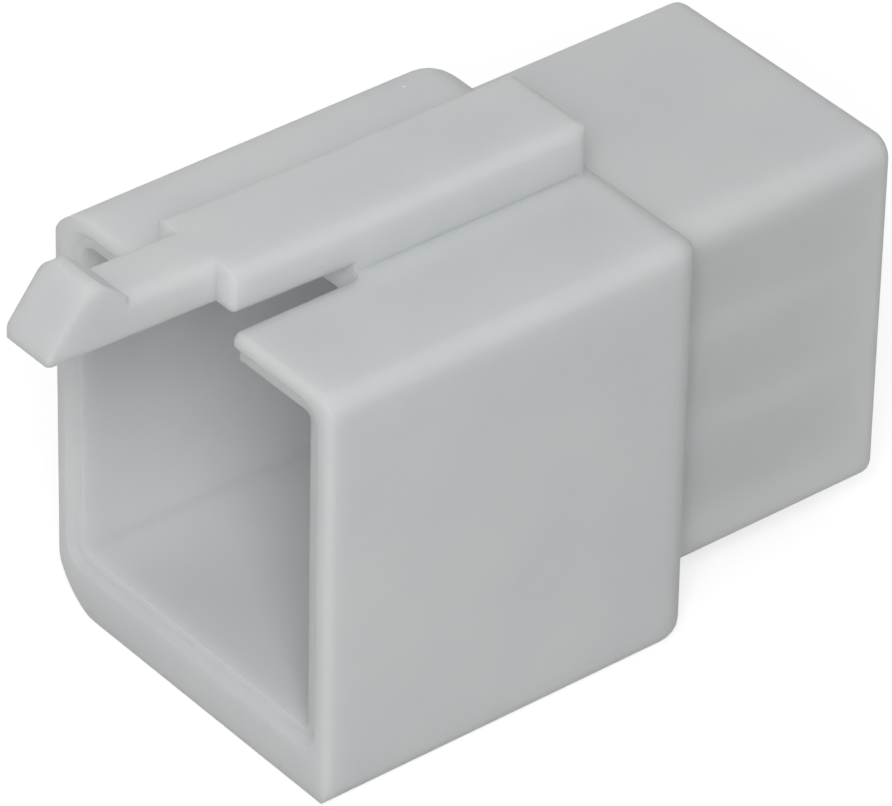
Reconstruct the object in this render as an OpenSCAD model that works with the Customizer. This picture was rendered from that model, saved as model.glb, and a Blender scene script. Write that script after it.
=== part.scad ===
// Nine-way connector housing, 3 x 3 contacts, moulded in one piece of natural nylon.
// A shroud open at the front takes the mating plug, a narrower block behind it holds the
// contacts, and a lock arm runs forward from the ridge on top. The part lies along Y with
// its mouth toward -Y, and the origin is the middle of its box on the face that it lies on.

/* [Shroud] */
// Outside width of the shroud
shroud_w = 15.9; // [15.4:0.1:17]
// Outside height of the shroud
shroud_h = 17.6; // [17.2:0.1:19]
// Length of the shroud, from the mouth to its back face
shroud_l = 17; // [16:0.1:19]
// Thickness of the upper wall
top_t = 1.2; // [0.9:0.05:1.4]
// Thickness of the lower wall
floor_t = 2.7; // [2.4:0.1:3]
// Thickness of the two side walls
side_t = 1.35; // [1.1:0.05:1.6]
// Depth of the mating space behind the mouth
mating_depth = 12.5; // [10:0.1:13]
// Radius of the upper corner on the keyed side
key_top_r = 2.1; // [1.6:0.1:2.4]
// Radius of the lower corner on the keyed side
key_bottom_r = 3.1; // [2.2:0.1:3.4]
// Radius of the two corners on the plain side
plain_r = 0.7; // [0.4:0.05:1]
// Radius all round the back of the shroud
back_r = 1.4; // [0.8:0.1:1.6]
// Radius of the inner corners, apart from the upper one on the keyed side
inner_r = 0.3; // [0.2:0.05:0.5]
// Radius of the outer edge of the mouth
rim_r = 0.3; // [0.15:0.05:0.35]
// Depth of the step inside the rim
rim_step = 0.25; // [0.15:0.05:0.4]
// Width of the step, and of the slope that leads down to it
step_w = 0.35; // [0.2:0.05:0.4]

/* [Contact block] */
// Width of the block behind the shroud
block_w = 12.3; // [12.1:0.1:13]
// Height of the block
block_h = 15.1; // [14.9:0.1:15.6]
// Length of the block behind the shroud
block_l = 10.2; // [8:0.1:14]
// Height of the underside of the block above the shroud's lower face
block_z = 1.5; // [1.2:0.1:1.9]
// Radius along the block's four long edges
block_r = 0.9; // [0.5:0.1:1]
// Radius round the block's rear face
rear_r = 0.4; // [0.2:0.05:0.4]

/* [Contact cells] */
// Number of columns
cell_cols = 3; // [3]
// Number of rows
cell_rows = 3; // [3]
// Distance between columns
col_pitch = 4.2; // [4.1:0.05:4.3]
// Distance between rows
row_pitch = 4.2; // [4.1:0.05:4.3]
// Width of a cell
cell_w = 2.8; // [2.5:0.05:2.9]
// Height of a cell
cell_h = 2.9; // [2.5:0.05:3.1]
// Thickness of the web that stops the contacts
web_t = 1.5; // [1:0.1:2.5]
// Width of the window in the web
window_w = 1.9; // [1.5:0.1:2.2]
// Height of the window in the web
window_h = 1.9; // [1.5:0.1:2.2]
// Lead-in round the rear end of a cell
cell_lead = 0.3; // [0.1:0.05:0.35]

/* [Lock arm] */
// Width of the ridge and of the arm's root
root_w = 4.4; // [4:0.1:4.6]
// Height of the ridge above the shroud
ridge_h = 2; // [1.9:0.05:2.2]
// Distance from the back of the ridge to the shroud's back face
ridge_gap = 0.8; // [0.4:0.1:1.6]
// Width of the arm in front of the root
arm_w = 2.5; // [2:0.1:3]
// Thickness of the arm
arm_t = 1.6; // [1.3:0.05:1.7]
// Reach of the arm in front of the mouth
arm_reach = 6.95; // [5:0.05:8]
// Angle by which the arm rises toward its tip
arm_rise = 1.5; // [0:0.1:2]
// Set-back of the wide root behind the mouth
root_back = 0.25; // [0.1:0.05:0.6]
// Height of the catch above the arm
catch_h = 1; // [0.6:0.05:1.1]
// Length of the catch's ramp
ramp_l = 1.7; // [1.3:0.05:2]
// Width of the catch's flat crest
crest_l = 0.5; // [0.3:0.05:0.8]
// Height of the blunt tip
tip_h = 0.3; // [0.15:0.05:0.5]
// Length of the catch's sloping back
catch_back = 1.2; // [0.4:0.1:1.6]
// Radius of the ridge's and the arm's edges
arm_r = 0.45; // [0.15:0.05:0.5]

/* [Notch] */
// Width of the notch in the upper wall under the arm
notch_w = 5.2; // [5:0.1:5.6]
// Length of the notch, from the mouth
notch_l = 5.65; // [4:0.05:6.5]
// Radius of the notch's two rear corners
notch_r = 0.5; // [0.3:0.05:0.7]
// Height of the gap between the shroud and the arm's underside
under_gap = 0.4; // [0.3:0.05:0.6]

/* [Hidden] */
$fn = 48;
eps = 0.01;
far = 60;
body_l = shroud_l + block_l;
mouth_y = arm_reach - (arm_reach + body_l) / 2;
inner_w = shroud_w - 2 * side_t;
cell_z = (floor_t + shroud_h - top_t) / 2;
arm_l = notch_l + arm_reach;
catch_y = arm_l - ramp_l - crest_l;
step_r = 0.2;
min_r = 0.4;
end_steps = 8;
end_t = 0.01;
end_fn = 40;
nylon = [0.78, 0.80, 0.80];

// What is left outside a corner of radius r, with the corner at the origin and the part at -X -Y
module corner_waste(r)
  if (r > 0) translate([-r, -r]) difference() {
    square(r + 1);
    circle(r);
  }

// Rectangle from x0 to x1 and y0 to y1, its corners rounded by
// r = [left low, right low, right high, left high], where 0 leaves a corner sharp
module rounded_box2d(x0, x1, y0, y1, r)
  difference() {
    translate([x0, y0]) square([x1 - x0, y1 - y0]);
    translate([x0, y0]) rotate(180) corner_waste(r[0]);
    translate([x1, y0]) rotate(-90) corner_waste(r[1]);
    translate([x1, y1]) corner_waste(r[2]);
    translate([x0, y1]) rotate(90) corner_waste(r[3]);
  }

// Extrusions of a profile along Y, X and Z
module along_y(y0, y1) translate([0, y1, 0]) rotate([90, 0, 0]) linear_extrude(y1 - y0) children();
module along_x(x0, x1) translate([x0, 0, 0]) rotate([90, 0, 90]) linear_extrude(x1 - x0) children();
module along_z(z0, z1) translate([0, 0, z0]) linear_extrude(z1 - z0) children();

// Solid rounded in all three views: x = [x0, x1], y = [y0, y1], z = [z0, z1], section radii r
// as in rounded_box2d, and radii rf and rb round the front and the back face
module rounded_solid(x, y, z, r, rf, rb)
  intersection() {
    along_y(y[0], y[1]) rounded_box2d(x[0], x[1], z[0], z[1], r);
    along_z(z[0] - 1, z[1] + 1) rounded_box2d(x[0], x[1], y[0], y[1], [rf, rf, rb, rb]);
    along_x(x[0] - 1, x[1] + 1) rounded_box2d(y[0], y[1], z[0], z[1], [rf, rb, rb, rf]);
  }

// Section of the shroud, drawn in by g all round
module shroud_section(g)
  rounded_box2d(-shroud_w / 2 + g, shroud_w / 2 - g, g, shroud_h - g,
    [max(key_bottom_r - g, min_r), max(plain_r - g, min_r),
     max(plain_r - g, min_r), max(key_top_r - g, min_r)]);

// Outer form of the shroud: its back edge is rounded by sections that draw in along an arc
module shroud_form() {
  rounded_solid([-shroud_w / 2, shroud_w / 2], [0, shroud_l - back_r], [0, shroud_h],
    [key_bottom_r, plain_r, plain_r, key_top_r], rim_r, 0);
  hull() for (a = [0 : 90 / end_steps : 90])
    along_y(shroud_l - back_r * (1 - sin(a)) - end_t, shroud_l - back_r * (1 - sin(a)))
      shroud_section(back_r * (1 - cos(a)), $fn = end_fn);
}

// Section of the contact block, drawn in by g all round
module block_section(g)
  rounded_box2d(-block_w / 2 + g, block_w / 2 - g, block_z + g, block_z + block_h - g,
    [for (i = [0 : 3]) max(block_r - g, min_r)]);

// Outer form of the contact block, which runs on into the shroud's solid back
module block_form() {
  along_y(mating_depth, body_l - rear_r) block_section(0);
  hull() for (a = [0 : 180 / end_steps : 90])
    along_y(body_l - rear_r * (1 - sin(a)) - end_t, body_l - rear_r * (1 - sin(a)))
      block_section(rear_r * (1 - cos(a)), $fn = end_fn);
}

// Mating space, with the step and the slope inside its rim
module mating_space() {
  along_y(-1, mating_depth) mating_section(0);
  hull() {
    along_y(-0.1, 0) mating_section(2 * step_w);
    along_y(rim_step - end_t, rim_step) mating_section(step_w);
  }
}

// Section of the mating space, grown by g all round
module mating_section(g)
  rounded_box2d(-inner_w / 2 - g, inner_w / 2 + g, floor_t - g, shroud_h - top_t + g,
    [inner_r + g, inner_r + g, inner_r + g, key_top_r - top_t + g]);

// Four-sided frustum with its large end a = [width, height] at y0 and its small end b at y0 + l
module frustum(a, b, z_mid, y0, l) {
  s = sign(l);
  intersection() {
    along_x(-far, far) translate([0, z_mid])
      polygon([[y0 - s, -a[1] / 2], [y0, -a[1] / 2], [y0 + l, -b[1] / 2],
               [y0 + l, b[1] / 2], [y0, a[1] / 2], [y0 - s, a[1] / 2]]);
    along_z(-far, far)
      polygon([[-a[0] / 2, y0 - s], [-a[0] / 2, y0], [-b[0] / 2, y0 + l],
               [b[0] / 2, y0 + l], [a[0] / 2, y0], [a[0] / 2, y0 - s]]);
  }
}

// One contact cell: body space, window through the web, and lead-in at the rear
module cell() {
  translate([-cell_w / 2, mating_depth + web_t, -cell_h / 2])
    cube([cell_w, body_l, cell_h]);
  translate([-window_w / 2, mating_depth - 1, -window_h / 2])
    cube([window_w, web_t + 2, window_h]);
  frustum([cell_w + 2 * cell_lead, cell_h + 2 * cell_lead], [cell_w - 0.6, cell_h - 0.6],
    0, body_l, -cell_lead - 0.3);
}

module cells()
  for (i = [0 : cell_cols - 1], j = [0 : cell_rows - 1])
    translate([(i - (cell_cols - 1) / 2) * col_pitch, 0,
               cell_z + (j - (cell_rows - 1) / 2) * row_pitch]) cell();

// Notch in the upper wall, with rounded rear corners
module notch()
  along_z(shroud_h - top_t - 1, shroud_h + eps)
    rounded_box2d(-notch_w / 2, notch_w / 2, -1, notch_l, [0, 0, notch_r, notch_r]);

// Ridge on top of the shroud, behind the notch
module ridge()
  rounded_solid([-root_w / 2, root_w / 2], [notch_l, shroud_l - ridge_gap],
    [shroud_h - 1, shroud_h + ridge_h], [0, 0, arm_r, arm_r], 0, arm_r);

// Side view of the arm: y runs forward from the notch's back, z up from the arm's underside
module arm_side()
  polygon([[-1, 0], [arm_l, 0], [arm_l, tip_h], [arm_l - ramp_l, arm_t + catch_h],
           [catch_y, arm_t + catch_h], [catch_y - catch_back, arm_t], [-1, arm_t]]);

// Bar along the arm from y0 to y1, w wide and h high, with its upper edges rounded
module arm_bar(y0, y1, w, h, r)
  intersection() {
    rotate([90, 0, 90]) translate([0, 0, y0]) linear_extrude(y1 - y0)
      rounded_box2d(-w / 2, w / 2, 0, h, [0, 0, arm_r, arm_r]);
    linear_extrude(h) rounded_box2d(y0, y1, -w / 2, w / 2, [0, r, r, 0]);
  }

// Lock arm, hinged at the back of the notch and rising toward its tip
module lock_arm()
  translate([0, notch_l, shroud_h + under_gap]) rotate([-arm_rise, 0, 0]) rotate(-90)
    intersection() {
      rotate([90, 0, 0]) translate([0, 0, -far]) linear_extrude(2 * far) arm_side();
      union() {
        arm_bar(-1, notch_l - root_back, root_w, arm_t, step_r);
        arm_bar(0, arm_l, arm_w, arm_t, step_r);
        arm_bar(catch_y - catch_back, arm_l, arm_w, arm_t + catch_h, step_r);
      }
    }

module housing()
  color(nylon) translate([0, mouth_y, 0]) {
    difference() {
      union() {
        shroud_form();
        block_form();
        ridge();
      }
      mating_space();
      cells();
      notch();
    }
    lock_arm();
  }

housing();
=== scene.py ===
"""Nine-way connector housing, moulded in natural nylon: its finish, table, light and camera."""

import math

import bmesh
import bpy
from mathutils import Matrix, Vector

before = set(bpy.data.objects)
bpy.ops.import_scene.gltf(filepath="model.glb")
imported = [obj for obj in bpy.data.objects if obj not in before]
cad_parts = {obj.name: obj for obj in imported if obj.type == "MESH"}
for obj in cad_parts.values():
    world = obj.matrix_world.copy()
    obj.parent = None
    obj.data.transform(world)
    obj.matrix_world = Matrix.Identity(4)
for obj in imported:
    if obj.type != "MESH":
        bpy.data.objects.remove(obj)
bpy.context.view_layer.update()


# ---- Camera ----
# A long lens looks down on the mouth, the top and the plain side of the housing, as for a
# catalogue picture. The housing fills the view.
camera_place = (0.18114, -0.14758, 0.17610)
camera_turn = math.radians(50.538)
camera_below_level = math.radians(35.599)
camera_roll = math.radians(1.291)

lens = bpy.data.cameras.new("catalogue_lens")
lens.sensor_fit = "HORIZONTAL"
lens.sensor_width = 36.0
lens.lens = 322.88
lens.clip_start = 0.01
lens.clip_end = 20.0
camera = bpy.data.objects.new("catalogue_camera", lens)
bpy.context.scene.collection.objects.link(camera)
camera.matrix_world = (
    Matrix.Translation(camera_place)
    @ Matrix.Rotation(camera_turn, 4, "Z")
    @ Matrix.Rotation(math.radians(90.0) - camera_below_level, 4, "X")
    @ Matrix.Rotation(camera_roll, 4, "Z")
)
bpy.context.scene.camera = camera


# ---- Housing ----
# The whole part is one moulding in natural nylon. It is milky grey white and lets light some
# way in, so light runs through its walls and softens its corners. The tool leaves a fine satin.
milky_dark = (0.713, 0.735, 0.743, 1)
milky_pale = (0.752, 0.768, 0.772, 1)
speck_white = (0.93, 0.93, 0.91, 1)
light_runs_in = 0.002
satin_depth = 0.00002


def bare_material(name):
    """A material with nothing in it but its output. Gives the material, its nodes and output."""
    material = bpy.data.materials.new(name)
    material.use_nodes = True
    material.node_tree.nodes.clear()
    output = material.node_tree.nodes.new("ShaderNodeOutputMaterial")
    return material, material.node_tree, output


nylon, tree, output = bare_material("natural_nylon")
body = tree.nodes.new("ShaderNodeBsdfPrincipled")
body.inputs["IOR"].default_value = 1.53
body.inputs["Subsurface Weight"].default_value = 1.0
body.inputs["Subsurface Radius"].default_value = (1.0, 1.0, 1.0)
body.inputs["Subsurface Scale"].default_value = light_runs_in
tree.links.new(body.outputs["BSDF"], output.inputs["Surface"])
place = tree.nodes.new("ShaderNodeTexCoord")


def nylon_noise(grains_per_metre, detail):
    """Noise that is fixed to the moulding."""
    noise = tree.nodes.new("ShaderNodeTexNoise")
    noise.inputs["Scale"].default_value = grains_per_metre
    noise.inputs["Detail"].default_value = detail
    tree.links.new(place.outputs["Object"], noise.inputs["Vector"])
    return noise.outputs["Fac"]


# The melt sets a little unevenly, in clouds a few millimetres across.
milky = tree.nodes.new("ShaderNodeValToRGB")
milky.color_ramp.elements[0].position = 0.3
milky.color_ramp.elements[0].color = milky_dark
milky.color_ramp.elements[1].position = 0.7
milky.color_ramp.elements[1].color = milky_pale
tree.links.new(nylon_noise(220.0, 3.0), milky.inputs["Fac"])

# A few specks of unmelted resin lie just under the surface, each about a tenth of a millimetre.
resin_grain = tree.nodes.new("ShaderNodeTexVoronoi")
resin_grain.inputs["Scale"].default_value = 260.0
tree.links.new(place.outputs["Object"], resin_grain.inputs["Vector"])
speck = tree.nodes.new("ShaderNodeMapRange")
speck.inputs["From Min"].default_value = 0.022
speck.inputs["From Max"].default_value = 0.012
tree.links.new(resin_grain.outputs["Distance"], speck.inputs["Value"])
speckled = tree.nodes.new("ShaderNodeMix")
speckled.data_type = "RGBA"
speckled.inputs["B"].default_value = speck_white
tree.links.new(speck.outputs["Result"], speckled.inputs["Factor"])
tree.links.new(milky.outputs["Color"], speckled.inputs["A"])
tree.links.new(speckled.outputs["Result"], body.inputs["Base Color"])

# The tool was polished by hand, so the gloss drifts a little and the surface has a fine grain.
gloss = tree.nodes.new("ShaderNodeMapRange")
gloss.inputs["To Min"].default_value = 0.5
gloss.inputs["To Max"].default_value = 0.68
tree.links.new(nylon_noise(700.0, 4.0), gloss.inputs["Value"])
tree.links.new(gloss.outputs["Result"], body.inputs["Roughness"])
satin = tree.nodes.new("ShaderNodeBump")
satin.inputs["Strength"].default_value = 0.25
satin.inputs["Distance"].default_value = satin_depth
tree.links.new(nylon_noise(6000.0, 2.0), satin.inputs["Height"])
tree.links.new(satin.outputs["Normal"], body.inputs["Normal"])

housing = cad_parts["housing"]
housing.data.materials.clear()
housing.data.materials.append(nylon)


# ---- Table ----
# The housing lies on a wide sheet of matt pale card. A camera and a shiny surface see the sheet
# as white, and it still takes the housing's soft shadow.
card_grey = (0.6, 0.6, 0.6, 1)
card_half_width = 1.0

sheet = bmesh.new()
bmesh.ops.create_grid(sheet, x_segments=1, y_segments=1, size=card_half_width)
table_mesh = bpy.data.meshes.new("table")
sheet.to_mesh(table_mesh)
sheet.free()
table = bpy.data.objects.new("table", table_mesh)
bpy.context.scene.collection.objects.link(table)

card, tree, output = bare_material("pale_card")
matt = tree.nodes.new("ShaderNodeBsdfDiffuse")
matt.inputs["Color"].default_value = card_grey
white = tree.nodes.new("ShaderNodeEmission")
white.inputs["Strength"].default_value = 0.66
matt_and_white = tree.nodes.new("ShaderNodeAddShader")
tree.links.new(matt.outputs["BSDF"], matt_and_white.inputs[0])
tree.links.new(white.outputs["Emission"], matt_and_white.inputs[1])

seen_by = tree.nodes.new("ShaderNodeLightPath")
camera_or_gloss = tree.nodes.new("ShaderNodeMath")
camera_or_gloss.operation = "MAXIMUM"
tree.links.new(seen_by.outputs["Is Camera Ray"], camera_or_gloss.inputs[0])
tree.links.new(seen_by.outputs["Is Glossy Ray"], camera_or_gloss.inputs[1])
any_of_three = tree.nodes.new("ShaderNodeMath")
any_of_three.operation = "MAXIMUM"
tree.links.new(camera_or_gloss.outputs["Value"], any_of_three.inputs[0])
tree.links.new(seen_by.outputs["Is Transmission Ray"], any_of_three.inputs[1])

pick = tree.nodes.new("ShaderNodeMixShader")
tree.links.new(any_of_three.outputs["Value"], pick.inputs["Fac"])
tree.links.new(matt.outputs["BSDF"], pick.inputs[1])
tree.links.new(matt_and_white.outputs["Shader"], pick.inputs[2])
tree.links.new(pick.outputs["Shader"], output.inputs["Surface"])
table_mesh.materials.append(card)


# ---- Light ----
# An even white room, a soft lamp beside the camera, a wide one in front of the mouth, a small
# one close above and a low one on the far side. All are weak, so the pale nylon keeps its tone.
middle_of_housing = Vector((0, 0, 0.01))

room = bpy.data.worlds.new("white_room")
bpy.context.scene.world = room
room.use_nodes = True
room_light = room.node_tree.nodes["Background"]
room_light.inputs["Color"].default_value = (1, 1, 1, 1)
room_light.inputs["Strength"].default_value = 0.205


def soft_lamp(name, where, width, watts):
    """A square lamp that the camera can't see, turned toward the middle of the housing."""
    lamp = bpy.data.lights.new(name, "AREA")
    lamp.size = width
    lamp.energy = watts
    stand = bpy.data.objects.new(name, lamp)
    bpy.context.scene.collection.objects.link(stand)
    stand.visible_camera = False
    turn = (Vector(where) - middle_of_housing).to_track_quat("Z", "Y")
    stand.matrix_world = Matrix.Translation(where) @ turn.to_matrix().to_4x4()


soft_lamp("camera_side", where=(0.235, -0.197, 0.267), width=0.15, watts=0.82)
soft_lamp("front_sheet", where=(0.027, -0.305, 0.267), width=0.6, watts=0.18)
soft_lamp("overhead", where=(0.005, 0.0, 0.09), width=0.06, watts=0.0035)
soft_lamp("far_side", where=(-0.344, 0.139, 0.16), width=0.3, watts=0.3)


# ---- Picture ----
# Plain colours.
bpy.context.scene.view_settings.view_transform = "Standard"
